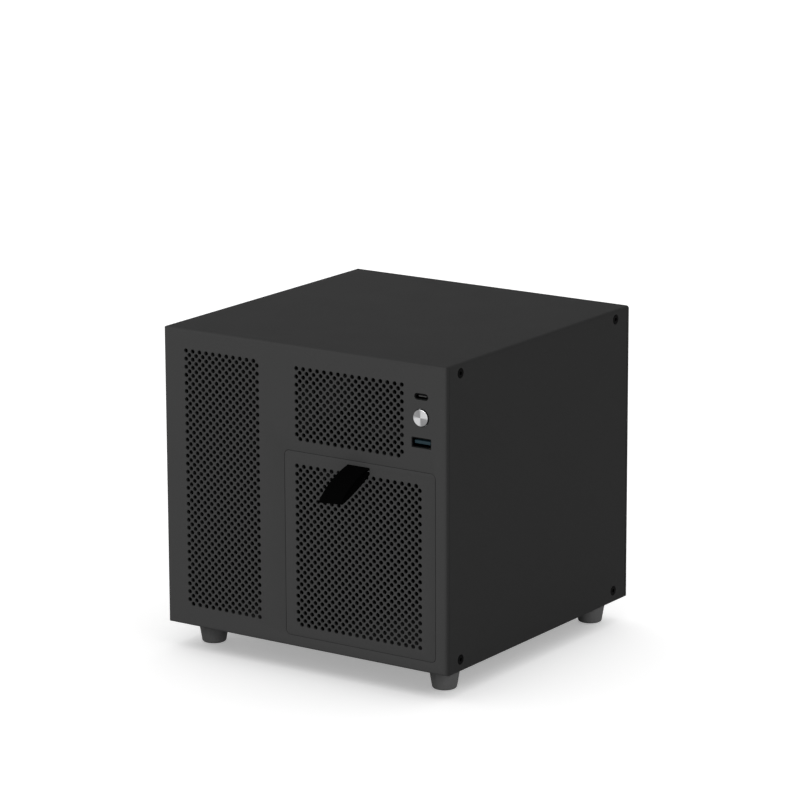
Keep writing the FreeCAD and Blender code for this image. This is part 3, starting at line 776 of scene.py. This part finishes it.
class CASE_OT_pull_strap(bpy.types.Operator):
    """Fold the woven ribbon into its pull loop"""
    bl_idname = "case.pull_strap"
    bl_label = "Pull Strap"

    # Depth and height of points on the loop, in millimetres
    upper_middle = Vector((-14.93, 112.36))
    upper_end = Vector((-28.0, 103.5))
    nose = [Vector((-28.3, 103.1)), Vector((-28.33, 102.6)), Vector((-27.95, 102.25))]
    lower_start = Vector((-27.4, 102.3))
    lower_middle = Vector((-13.38, 107.5))
    tail = 2.0
    steps = 9
    selvedge = 0.0004

    def execute(self, context):
        sizes = context.scene.strap_sizes
        middle = strap_middle()
        path = self.loop_path(sizes.thick / 2 / MM)
        lay_down()
        bpy.ops.mesh.primitive_plane_add(size=1)
        piece = bpy.context.object
        pick(piece, "EDGE", lambda place, way: place.y > 0 or abs(way.y) > ALONG)
        bpy.ops.mesh.delete(type="EDGE")
        lay_down()
        piece.scale = (sizes.width, 1, 1)
        to_edge = Vector((0, -0.5, 0))  # the front edge is all that is left of the plane
        piece.location = spot(middle, path[0].x, path[0].y) - to_edge
        fix(piece)
        edit_all(piece)
        turn = 2 * sizes.twist / (len(path) - 1)
        for k, (before, after) in enumerate(zip(path, path[1:])):
            extrude_edges((0, (after.x - before.x) * MM, (after.y - before.y) * MM))
            outward = 1 if k < len(path) // 2 else -1
            pivot = spot(middle, after.x, after.y)
            bpy.ops.transform.rotate(value=outward * turn, orient_axis="Y", center_override=pivot)
        face_outward(piece)
        modify(piece, "SOLIDIFY", thickness=sizes.thick, offset=0)
        ease(piece, self.selvedge, segments=3, angle=60.0)
        modify(piece, "SUBSURF", levels=1)
        hand_over(piece, "ribbon_loop", "strap_ribbon", ["door_pull_strap"], "door", smooth=60.0)
        return {"FINISHED"}

    def loop_path(self, half):
        """Depths and heights of the ribbon's middle layer, from the slot to the nose and back."""
        bottom, top = wider(STRAP_ROOT, -half)
        upper = self.bow(Vector((0, top)), self.upper_middle, self.upper_end)
        lower = self.bow(self.lower_start, self.lower_middle, Vector((0, bottom)))
        inside = [Vector((self.tail, z)) for z in (top, bottom)]
        return [inside[0], *upper, *self.nose, *lower, inside[1]]

    def bow(self, start, between, end):
        control = 2 * between - (start + end) / 2
        shares = [k / self.steps for k in range(self.steps + 1)]
        return [(1 - t) ** 2 * start + 2 * t * (1 - t) * control + t ** 2 * end for t in shares]


class CASE_OT_power_button(bpy.types.Operator):
    """Turn the power button with its spun face"""
    bl_idname = "case.power_button"
    bl_label = "Power Button"

    stem = 0.002
    seat = 0.0066
    flange = 0.001
    chamfer = 0.0001
    edge = 0.00025

    def execute(self, context):
        cap = context.scene.button_sizes.radius
        x, y, z = reach("power_button")
        collar = (x[1] - x[0]) / 2 * MM
        long = (y[1] - y[0]) * MM
        inner = collar - self.chamfer
        front = self.seat + self.flange
        rings = [
            (0, self.stem), (self.seat, self.stem), (self.seat, inner),
            (self.seat + self.chamfer, collar), (front - self.chamfer, collar), (front, inner),
            (front, cap),
        ]
        rings += rounded_end(long, cap, self.edge, steps=4)
        rings += [(long, cap * share) for share in (0.7, 0.35, 0.1)]
        piece = turned(spot(mid(x), y[1], mid(z)), FORWARD, rings, sides=64)
        hand_over(piece, "button_cap", "spun_metal", ["power_button"], "button", smooth=28.0)
        return {"FINISHED"}


class CASE_OT_front_sockets(bpy.types.Operator):
    """Form the two sockets with their tongues and contacts"""
    bl_idname = "case.front_sockets"
    bl_label = "Front Sockets"

    # Millimetres, each contact as its width, depths and levels
    wall = 0.4
    base_front = 10.0
    wide_level = (137.4, 139.3)
    slim_level = (165.45, 166.15)
    wide_contact = (1.0, (4.2, 10.2), (137.15, 137.5))
    wide_places = (-3.5, -1.0, 1.0, 3.5)
    slim_contact = (0.26, (3.4, 8.0), (165.4, 166.2))
    slim_places = [(k - 5.5) * 0.44 for k in range(12)]

    def execute(self, context):
        self.roll_shell("wide_socket_shell", "usb_a_shell", corner=0.45, inner_corner=0.3)
        self.roll_shell("slim_socket_shell", "usb_c_shell", corner=1.59, inner_corner=1.19)
        tongue = self.mould_tongue("usb_a_tongue", self.wide_level)
        hand_over(tongue, "wide_socket_tongue", "blue_plastic", ["usb_a_tongue"])
        tongue = self.mould_tongue("usb_c_tongue", self.slim_level)
        hand_over(
            tongue, "slim_socket_tongue", "black_plastic", ["usb_c_tongue"], finish="grey_plastic")
        self.strike_contacts("wide_socket_contacts", self.wide_contact, self.wide_places)
        self.strike_contacts("slim_socket_contacts", self.slim_contact, self.slim_places)
        return {"FINISHED"}

    def roll_shell(self, name, solid, corner, inner_corner):
        x, y, z = reach(solid)
        shell = bar(x, y, z, corner, segments=8)
        bore = wider(x, -self.wall), wider(y, SPARE), wider(z, -self.wall)
        carve(shell, bar(*bore, inner_corner, segments=8))
        ease(shell, 0.0001, segments=1, angle=60.0)
        # The steel shell is painted near black: painted shade in the recess
        hand_over(shell, name, "bare_steel", [solid], finish="black_nickel")

    def mould_tongue(self, solid, level):
        x, y, z = reach(solid)
        tongue = block(x, y, level)
        nose = spot(0, y[0], 0).y + NEAR
        pick(tongue, "EDGE", lambda middle, way: middle.y < nose)
        bevel_picked(0.0002, segments=2)
        unite(tongue, block(x, (self.base_front, y[1]), z))
        return tongue

    def strike_contacts(self, name, contact, places):
        width, depth, level = contact
        middle = mid(reach("usb_a_shell")[0])
        strip = gather([block(about(middle + place, width), depth, level) for place in places])
        ease(strip, 0.00005, segments=1)
        hand_over(strip, name, "brass", finish="gold_flash")


class CASE_OT_rubber_feet(bpy.types.Operator):
    """Mould the four feet and their screws"""
    bl_idname = "case.rubber_feet"
    bl_label = "Rubber Feet"

    top = 0.0099
    bottom = 0.0075
    edge = 0.0014
    # Rings from the foot's top with radii against it, from its sole, and from the hollow's floor
    shoulder = [(0, -0.0003), (0.0002, -0.0001), (0.0006, -0.0001)]
    hollow = [(0, 0.0039), (-0.0003, 0.0036), (-0.006, 0.0034)]
    screw = [
        (-0.001, 0.0015), (0.0001, 0.0015), (0.0001, 0.0029), (0.0011, 0.0029), (0.0017, 0.0025),
        (0.0019, 0.0018), (0.0019, 0.0011), (0.0008, 0.0009),
    ]

    def execute(self, context):
        low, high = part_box("rubber_feet")
        tall = high.z - low.z
        floor = tall + self.hollow[-1][0]
        places = [
            Vector((x, y, high.z))
            for x in (low.x + self.top, high.x - self.top) for y in (low.y + self.top, high.y - self.top)
        ]
        rings = [(along, self.top + radius) for along, radius in self.shoulder]
        rings += rounded_end(tall, self.bottom, self.edge, steps=6)
        rings += [(tall + along, radius) for along, radius in self.hollow]
        piece = repeated(places, DOWN, rings, sides=48)
        hand_over(piece, "moulded_feet", "foot_rubber", ["rubber_feet"])
        rings = [(floor + along, radius) for along, radius in self.screw]
        piece = repeated(places, DOWN, rings, sides=24)
        hand_over(piece, "foot_screws", "black_screw")
        return {"FINISHED"}


class CASE_OT_rear_panel(bpy.types.Operator):
    """Fold the rear panel and punch its openings and fan grille"""
    bl_idname = "case.rear_panel"
    bl_label = "Rear Panel"

    # Millimetres
    board_opening = ((-73.45, -29.0), REAR_CUT, (13.6, 172.4))
    supply_x = 32.75
    supply_z = 147.75
    supply_opening = (68.0, 36.0)
    supply_screws = (37.4, 13.0)
    slot_rows = range(-4, 5)
    slot_pitch = 9.0
    slot_height = 6.0
    spine = 5.0
    grille = 41.0
    # Metres
    supply_hole = 0.0018
    softened = 0.00015

    def execute(self, context):
        sizes = context.scene.shell_sizes
        piece = folded_pan(rear_high.y, rear_high.y - sizes.rear_rim, rear_low.y, sizes.eased)
        carve(piece, *corner_cutters())
        carve(piece, *side_dimples())
        carve(piece, bar(*self.board_opening, corner=1.0))
        wide, tall = self.supply_opening
        carve(piece, bar(about(self.supply_x, wide), REAR_CUT, about(self.supply_z, tall), corner=1.5))
        aside, above = self.supply_screws
        for i in SIDES:
            for k in SIDES:
                x, z = self.supply_x + i * aside, self.supply_z + k * above
                carve(piece, bore(x, REAR_CUT, z, self.supply_hole, sides=24))
        carve(piece, *[dimple(corner, FORWARD) for corner in fan_corners()])
        self.punch_grille(piece)
        ease(piece, self.softened, segments=1, angle=70.0)
        hand_over(piece, "rear_sheet", "shell_coat", ["rear_panel"])
        return {"FINISHED"}

    def punch_grille(self, piece):
        """Rows of slots with rounded ends, cut to a circle in front of the fan."""
        x, _, z = reach("fan_frame")
        for row in self.slot_rows:
            edge = abs(row) * self.slot_pitch + self.slot_height / 2
            end = math.sqrt(self.grille ** 2 - edge ** 2)
            level = about(mid(z) + row * self.slot_pitch, self.slot_height)
            for side in SIDES:
                ends = sorted((mid(x) + side * self.spine / 2, mid(x) + side * end))
                carve(piece, bar(ends, REAR_CUT, level, corner=1.5, segments=4))


class CASE_OT_rear_fan(bpy.types.Operator):
    """Mould the fan's housing and its rotor with swept blades"""
    bl_idname = "case.rear_fan"
    bl_label = "Rear Fan"

    hub = 0.019
    hub_wall = 0.0015
    screw_hole = 0.0021
    bearing = 0.00405
    bearing_length = 0.0146
    strut = (4.0, 3.0, 89.6)  # width, depth and length in millimetres
    # Rings of the duct's mouth, of the hub plate with its boss, and of the rotor from both its ends
    mouth = [(-0.001, 0.045), (0, 0.045), (0.0008, 0.0445), (0.0025, 0.044)]
    boss = [
        (0, 0.0185), (0.0005, 0.019), (0.0025, 0.019), (0.003, 0.0185), (0.003, 0.006),
        (0.015, 0.006),
    ]
    rotor_rear = [(0, 0.0187), (0.0003, 0.019)]
    rotor_front = [
        (-0.0016, 0.019), (-0.0008, 0.0187), (-0.0003, 0.0181), (0, 0.017), (0, 0.004),
        (-0.0003, 0.0036), (-0.0003, 0.0006),
    ]
    blades = 7
    blade_thick = 0.0016
    tip = 0.0427
    rooted = 0.0002
    camber = 0.020
    arc = math.radians(27)
    slant = math.radians(44)
    untwist = math.radians(1.4)
    widening = 1.034
    steps = 6

    def execute(self, context):
        self.mould_housing()
        self.mould_rotor()
        return {"FINISHED"}

    def on_axis(self, y):
        return Vector((fan_middle.x, y, fan_middle.z))

    def mould_housing(self):
        x, y, z = reach("fan_frame")
        housing = bar(x, y, z, corner=5.0, segments=8)
        long = fan_high.y - fan_low.y
        rings = self.mouth + [(long - along, radius) for along, radius in reversed(self.mouth)]
        carve(housing, turned(self.on_axis(fan_low.y), BACKWARD, rings, sides=96))
        for corner in fan_corners():
            start = Vector((corner.x, fan_low.y - SPARE * MM, corner.z))
            carve(housing, rod(start, BACKWARD, self.screw_hole, long + 2 * SPARE * MM, sides=24))
        ease(housing, 0.0003, angle=50.0)
        width, deep, length = self.strut
        for across, upright in ((width, length), (length, width)):
            strut = block(about(mid(x), across), (y[1] - deep, y[1]), about(mid(z), upright))
            ease(strut, 0.0006, segments=3)
            unite(housing, strut)
        rear = self.on_axis(fan_high.y)
        unite(housing, turned(rear, FORWARD, self.boss, sides=64))
        start = rear + FORWARD * (self.boss[-1][0] + SPARE * MM)
        carve(housing, rod(start, BACKWARD, self.bearing, self.bearing_length, sides=32))
        hand_over(housing, "fan_housing", "black_plastic", ["fan_frame"])

    def mould_rotor(self):
        low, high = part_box("fan_rotor")
        rear = self.on_axis(high.y)
        long = high.y - low.y
        rings = self.rotor_rear + [(long + along, radius) for along, radius in self.rotor_front]
        rotor = turned(rear, FORWARD, rings, sides=64)
        blade = self.sweep_blade(self.on_axis((low.y + high.y) / 2))
        to_axis = Matrix.Translation(fan_middle)
        for k in range(self.blades):
            turn = Matrix.Rotation(k * 2 * math.pi / self.blades, 4, "Y")
            unite(rotor, again(blade, to_axis @ turn @ to_axis.inverted()))
        scrap(blade)
        start = rear + BACKWARD * SPARE * MM
        deep = long + SPARE * MM - self.hub_wall
        carve(rotor, rod(start, FORWARD, self.hub - self.hub_wall, deep, sides=64))
        hand_over(rotor, "fan_blades", "black_plastic", ["fan_rotor"], "rotor")

    def sweep_blade(self, middle):
        """A cambered arc drawn out from the hub in steps, each turned flatter and wider."""
        lay_down()
        bpy.ops.mesh.primitive_circle_add(vertices=48, radius=self.camber)
        piece = bpy.context.object
        pick(piece, "EDGE", lambda place, way: abs(math.atan2(place.x, place.y)) > self.arc)
        bpy.ops.mesh.delete(type="EDGE")
        lay_down()
        root = self.hub - self.hub_wall - self.rooted
        to_root = Matrix.Translation(middle + Vector((0, 0, root)))
        turn = Matrix.Rotation(self.slant, 4, "Z")
        piece.matrix_world = to_root @ turn @ Matrix.Translation((0, -self.camber, 0))
        fix(piece)
        step = (self.tip - root) / self.steps
        edit_all(piece)
        for k in range(self.steps):
            extrude_edges((0, 0, step))
            pivot = middle + Vector((0, 0, root + (k + 1) * step))
            bpy.ops.transform.rotate(value=self.untwist, orient_axis="Z", center_override=pivot)
            bpy.ops.transform.resize(value=(self.widening, self.widening, 1), center_override=pivot)
        lay_down()
        modify(piece, "SOLIDIFY", thickness=self.blade_thick, offset=0)
        modify(piece, "SUBSURF", levels=1)
        face_outward(piece)
        return piece


class CASE_OT_board_parts(bpy.types.Operator):
    """Fit the backplane's contacts, capacitors, chips and screws"""
    bl_idname = "case.board_parts"
    bl_label = "Board Parts"

    # Millimetres
    can_places = [(x, 103.5) for x in (58.0, 67.0, 76.0, 85.0)]
    chip_places = [(x, z) for x in (52.0, 71.0) for z in (28.5, 56.2, 83.9)]
    screw_places = [(x, z) for x in (-14.7, 95.9) for z in (14.0, 64.0, 114.0)]
    chip = 7.0
    chip_thick = 1.0
    contact_rows = ((-14.2, 7), (-3.4, 15))  # from the connector's middle, and how many
    contact_pitch = 1.27
    contact = (0.6, 0.3)
    contact_ends = (0.6, 2.4)
    slot_floor = 1.2
    # Metres, as rings
    can = [
        (0, 0.0029), (0.0004, 0.0031), (0.001, 0.0031), (0.0014, 0.0029), (0.0018, 0.0031),
        (0.0066, 0.0031), (0.007, 0.0027), (0.0069, 0.0024),
    ]
    screw_head = [(0, 0.0028), (0.0010, 0.0028), (0.0016, 0.0024), (0.0019, 0.0016)]
    screw_recess = [(0.0009, 0.0008), (0.0029, 0.0010)]

    def execute(self, context):
        self.set_contacts()
        rear = reach("backplane_board")[1][1]
        piece = repeated([spot(x, rear, z) for x, z in self.can_places], BACKWARD, self.can, sides=24)
        hand_over(piece, "backplane_capacitors", "bare_steel", finish="magnet_plating")
        depth = (rear, rear + self.chip_thick)
        chips = [
            block(about(x, self.chip), depth, about(z, self.chip)) for x, z in self.chip_places]
        piece = gather(chips)
        ease(piece, 0.0003)
        hand_over(piece, "backplane_chips", "black_plastic")
        piece = gather([self.pan_screw(spot(x, rear, z)) for x, z in self.screw_places])
        hand_over(piece, "backplane_screws", "bare_steel")
        return {"FINISHED"}

    def set_contacts(self):
        """Seven data and fifteen power contacts on the floor of each drive connector's slot."""
        width, thick = self.contact
        front, rear = self.contact_ends
        contacts = []
        for index in range(1, 5):
            x, y, z = reach("drive_connector_%d" % index)
            floor = mid(z) - self.slot_floor
            for start, count in self.contact_rows:
                for k in range(count):
                    across = about(mid(x) + start + self.contact_pitch * k, width)
                    contacts.append(block(across, (y[0] + front, y[1] - rear), (floor, floor + thick)))
        hand_over(gather(contacts), "drive_contacts", "brass", finish="gold_flash")

    def pan_screw(self, seat):
        head = turned(seat, BACKWARD, self.screw_head, sides=20)
        carve(head, turned(seat, BACKWARD, self.screw_recess, sides=6))
        return head


class CASE_OT_base_rivets(bpy.types.Operator):
    """Set the domed rivets under the base"""
    bl_idname = "case.base_rivets"
    bl_label = "Base Rivets"

    dome = [(0, 0.0026), (0.0003, 0.0025), (0.0007, 0.0019), (0.0009, 0.0011), (0.00095, 0.0004)]
    columns = (-27.7, -14.7, 95.9)  # millimetres, as the rows are
    rows = (60.0, 105.0, 150.0)

    def execute(self, context):
        places = [spot(x, y, 0) for x in self.columns for y in self.rows]
        piece = repeated(places, DOWN, self.dome, sides=20)
        hand_over(piece, "base_rivets", "black_screw")
        return {"FINISHED"}


class CASE_OT_hidden_finishes(bpy.types.Operator):
    """Paint the solids that need no new shape"""
    bl_idname = "case.hidden_finishes"
    bl_label = "Inner Finishes"

    # These sheets get the darker coat: painted shade for the dark inside of the case
    inner = ("motherboard_tray", "psu_shelf", "drive_cage_left", "drive_cage_right")

    def execute(self, context):
        for part in frame["record"]["subparts"]:
            name = part["node"]
            finish = "inner_coat" if name in self.inner else part["material_slot"]
            materials = frame["nodes"][name].data.materials
            materials.clear()
            materials.append(finishes[finish])
        return {"FINISHED"}


class CASE_OT_studio(bpy.types.Operator):
    """Set the camera, the white floor and the soft light"""
    bl_idname = "case.studio"
    bl_label = "Studio"

    azimuth = math.radians(34.351)
    elevation = math.radians(13.632)
    roll = math.radians(-0.2146)
    target = (69.83, 0, 162.01)  # millimetres
    distance = 2.2984
    lens = 179.06175  # millimetres, on Blender's usual sensor
    floor_size = 30

    def execute(self, context):
        settings = context.scene.studio_settings
        self.set_camera(context)
        floor = self.lay_floor(settings)
        feet = bpy.data.objects["moulded_feet"]
        ribbon = bpy.data.objects["ribbon_loop"]
        base = frame["nodes"]["base_tray"]
        # Degrees, where the light comes from, and what it lights and what blocks it, or is left out
        lamps = {
            "key": (40, (-0.25, -0.82, 0.515), "EXCLUDE", [floor], [ribbon]),
            "overhead": (140, (-0.2, 0.75, 1), "INCLUDE", [floor], [base, feet]),
            "fill": (50, (0.9, -0.35, 0.2), "INCLUDE", [feet], []),
        }
        for name, lamp in lamps.items():
            self.hang_lamp(name, getattr(settings, name), *lamp)
        self.light_air(context, settings)
        context.scene.view_settings.view_transform = "Standard"
        return {"FINISHED"}

    def set_camera(self, context):
        view = Matrix.Translation(spot(*self.target))
        turns = ((self.azimuth, "Z"), (math.pi / 2 - self.elevation, "X"), (self.roll, "Z"))
        for angle, axis in turns:
            view = view @ Matrix.Rotation(angle, 4, axis)
        bpy.ops.object.camera_add()
        camera = context.object
        camera.matrix_world = view @ Matrix.Translation((0, 0, self.distance))
        camera.data.lens = self.lens
        context.scene.camera = camera

    def lay_floor(self, settings):
        bpy.ops.mesh.primitive_plane_add(size=self.floor_size)
        floor = bpy.context.object
        floor.name = "studio_floor"
        tree, shader = new_finish("white_floor")
        rays = node(tree, "LightPath")
        seen = maths(tree, "MAXIMUM", rays["Is Camera Ray"], rays["Is Glossy Ray"])
        wire(tree, shader, {
            "Base Color": (0.95, 0.95, 0.95, 1),
            "Roughness": 1.0,
            "Specular IOR Level": 0.0,
            "Emission Color": (1, 1, 1, 1),
            "Emission Strength": maths(tree, "MULTIPLY", seen, settings.floor_lift),
        })
        floor.data.materials.append(finishes["white_floor"])
        return floor

    def hang_lamp(self, name, strength, angle, towards, state, lit, blockers):
        """A soft distant lamp that lights and is blocked by chosen objects."""
        bpy.ops.object.light_add(type="SUN")
        lamp = bpy.context.object
        lamp.name = name + "_light"
        lamp.data.energy = strength
        lamp.data.angle = math.radians(angle)
        lamp.rotation_euler = Vector(towards).to_track_quat("Z", "Y").to_euler()
        linking = lamp.light_linking
        linking.receiver_collection = self.link_group(name + "_receivers", lit, state)
        if blockers:
            linking.blocker_collection = self.link_group(name + "_blockers", blockers, state)

    def link_group(self, name, objects, state):
        group = bpy.data.collections.new(name)
        for k, item in enumerate(objects):
            group.objects.link(item)
            group.collection_objects[k].light_linking.link_state = state
        return group

    def light_air(self, context, settings):
        """White to the camera and in reflections, softer as a light."""
        world = bpy.data.worlds.new("studio air")
        world.use_nodes = True
        tree = world.node_tree
        rays = node(tree, "LightPath")
        seen = maths(tree, "MAXIMUM", rays["Is Camera Ray"], rays["Is Transmission Ray"])
        shiny = maths(tree, "MAXIMUM", seen, rays["Is Glossy Ray"])
        inputs = {"Value": shiny, "To Min": settings.ambient}
        strength = node(tree, "MapRange", inputs)["Result"]
        wire(tree, tree.nodes["Background"], {"Color": (1, 1, 1, 1), "Strength": strength})
        context.scene.world = world


class CASE_PT_sidebar(bpy.types.Panel):
    """Lists the pieces of the case"""
    bl_label = "Storage Case"
    bl_idname = "CASE_PT_sidebar"
    bl_space_type = "VIEW_3D"
    bl_region_type = "UI"
    bl_category = "Storage Case"

    def draw(self, context):
        for group in settings_groups:
            settings = getattr(context.scene, group)
            box = self.layout.box()
            for name in settings.__annotations__:
                box.prop(settings, name)
        for operator in operators:
            self.layout.operator(operator.bl_idname)


settings_groups = {
    "shell_sizes": ShellSizes,
    "perforation_sizes": PerforationSizes,
    "strap_sizes": StrapSizes,
    "button_sizes": ButtonSizes,
    "finish_colours": FinishColours,
    "studio_settings": StudioSettings,
}
operators = [
    CASE_OT_hidden_finishes,
    CASE_OT_front_panel,
    CASE_OT_drive_door,
    CASE_OT_top_cover,
    CASE_OT_screws,
    CASE_OT_pull_strap,
    CASE_OT_power_button,
    CASE_OT_front_sockets,
    CASE_OT_rubber_feet,
    CASE_OT_rear_panel,
    CASE_OT_rear_fan,
    CASE_OT_board_parts,
    CASE_OT_base_rivets,
    CASE_OT_studio,
]


def register():
    for cls in (*settings_groups.values(), *operators, CASE_PT_sidebar):
        bpy.utils.register_class(cls)
    for name, group in settings_groups.items():
        setattr(bpy.types.Scene, name, PointerProperty(type=group))


def unregister():
    for name in settings_groups:
        delattr(bpy.types.Scene, name)
    for cls in (CASE_PT_sidebar, *reversed(operators), *reversed(settings_groups.values())):
        bpy.utils.unregister_class(cls)


def main():
    register()
    mix_finishes()
    for operator in operators:
        group, name = operator.bl_idname.split(".")
        getattr(getattr(bpy.ops, group), name)()


if __name__ == "__main__":
    main()
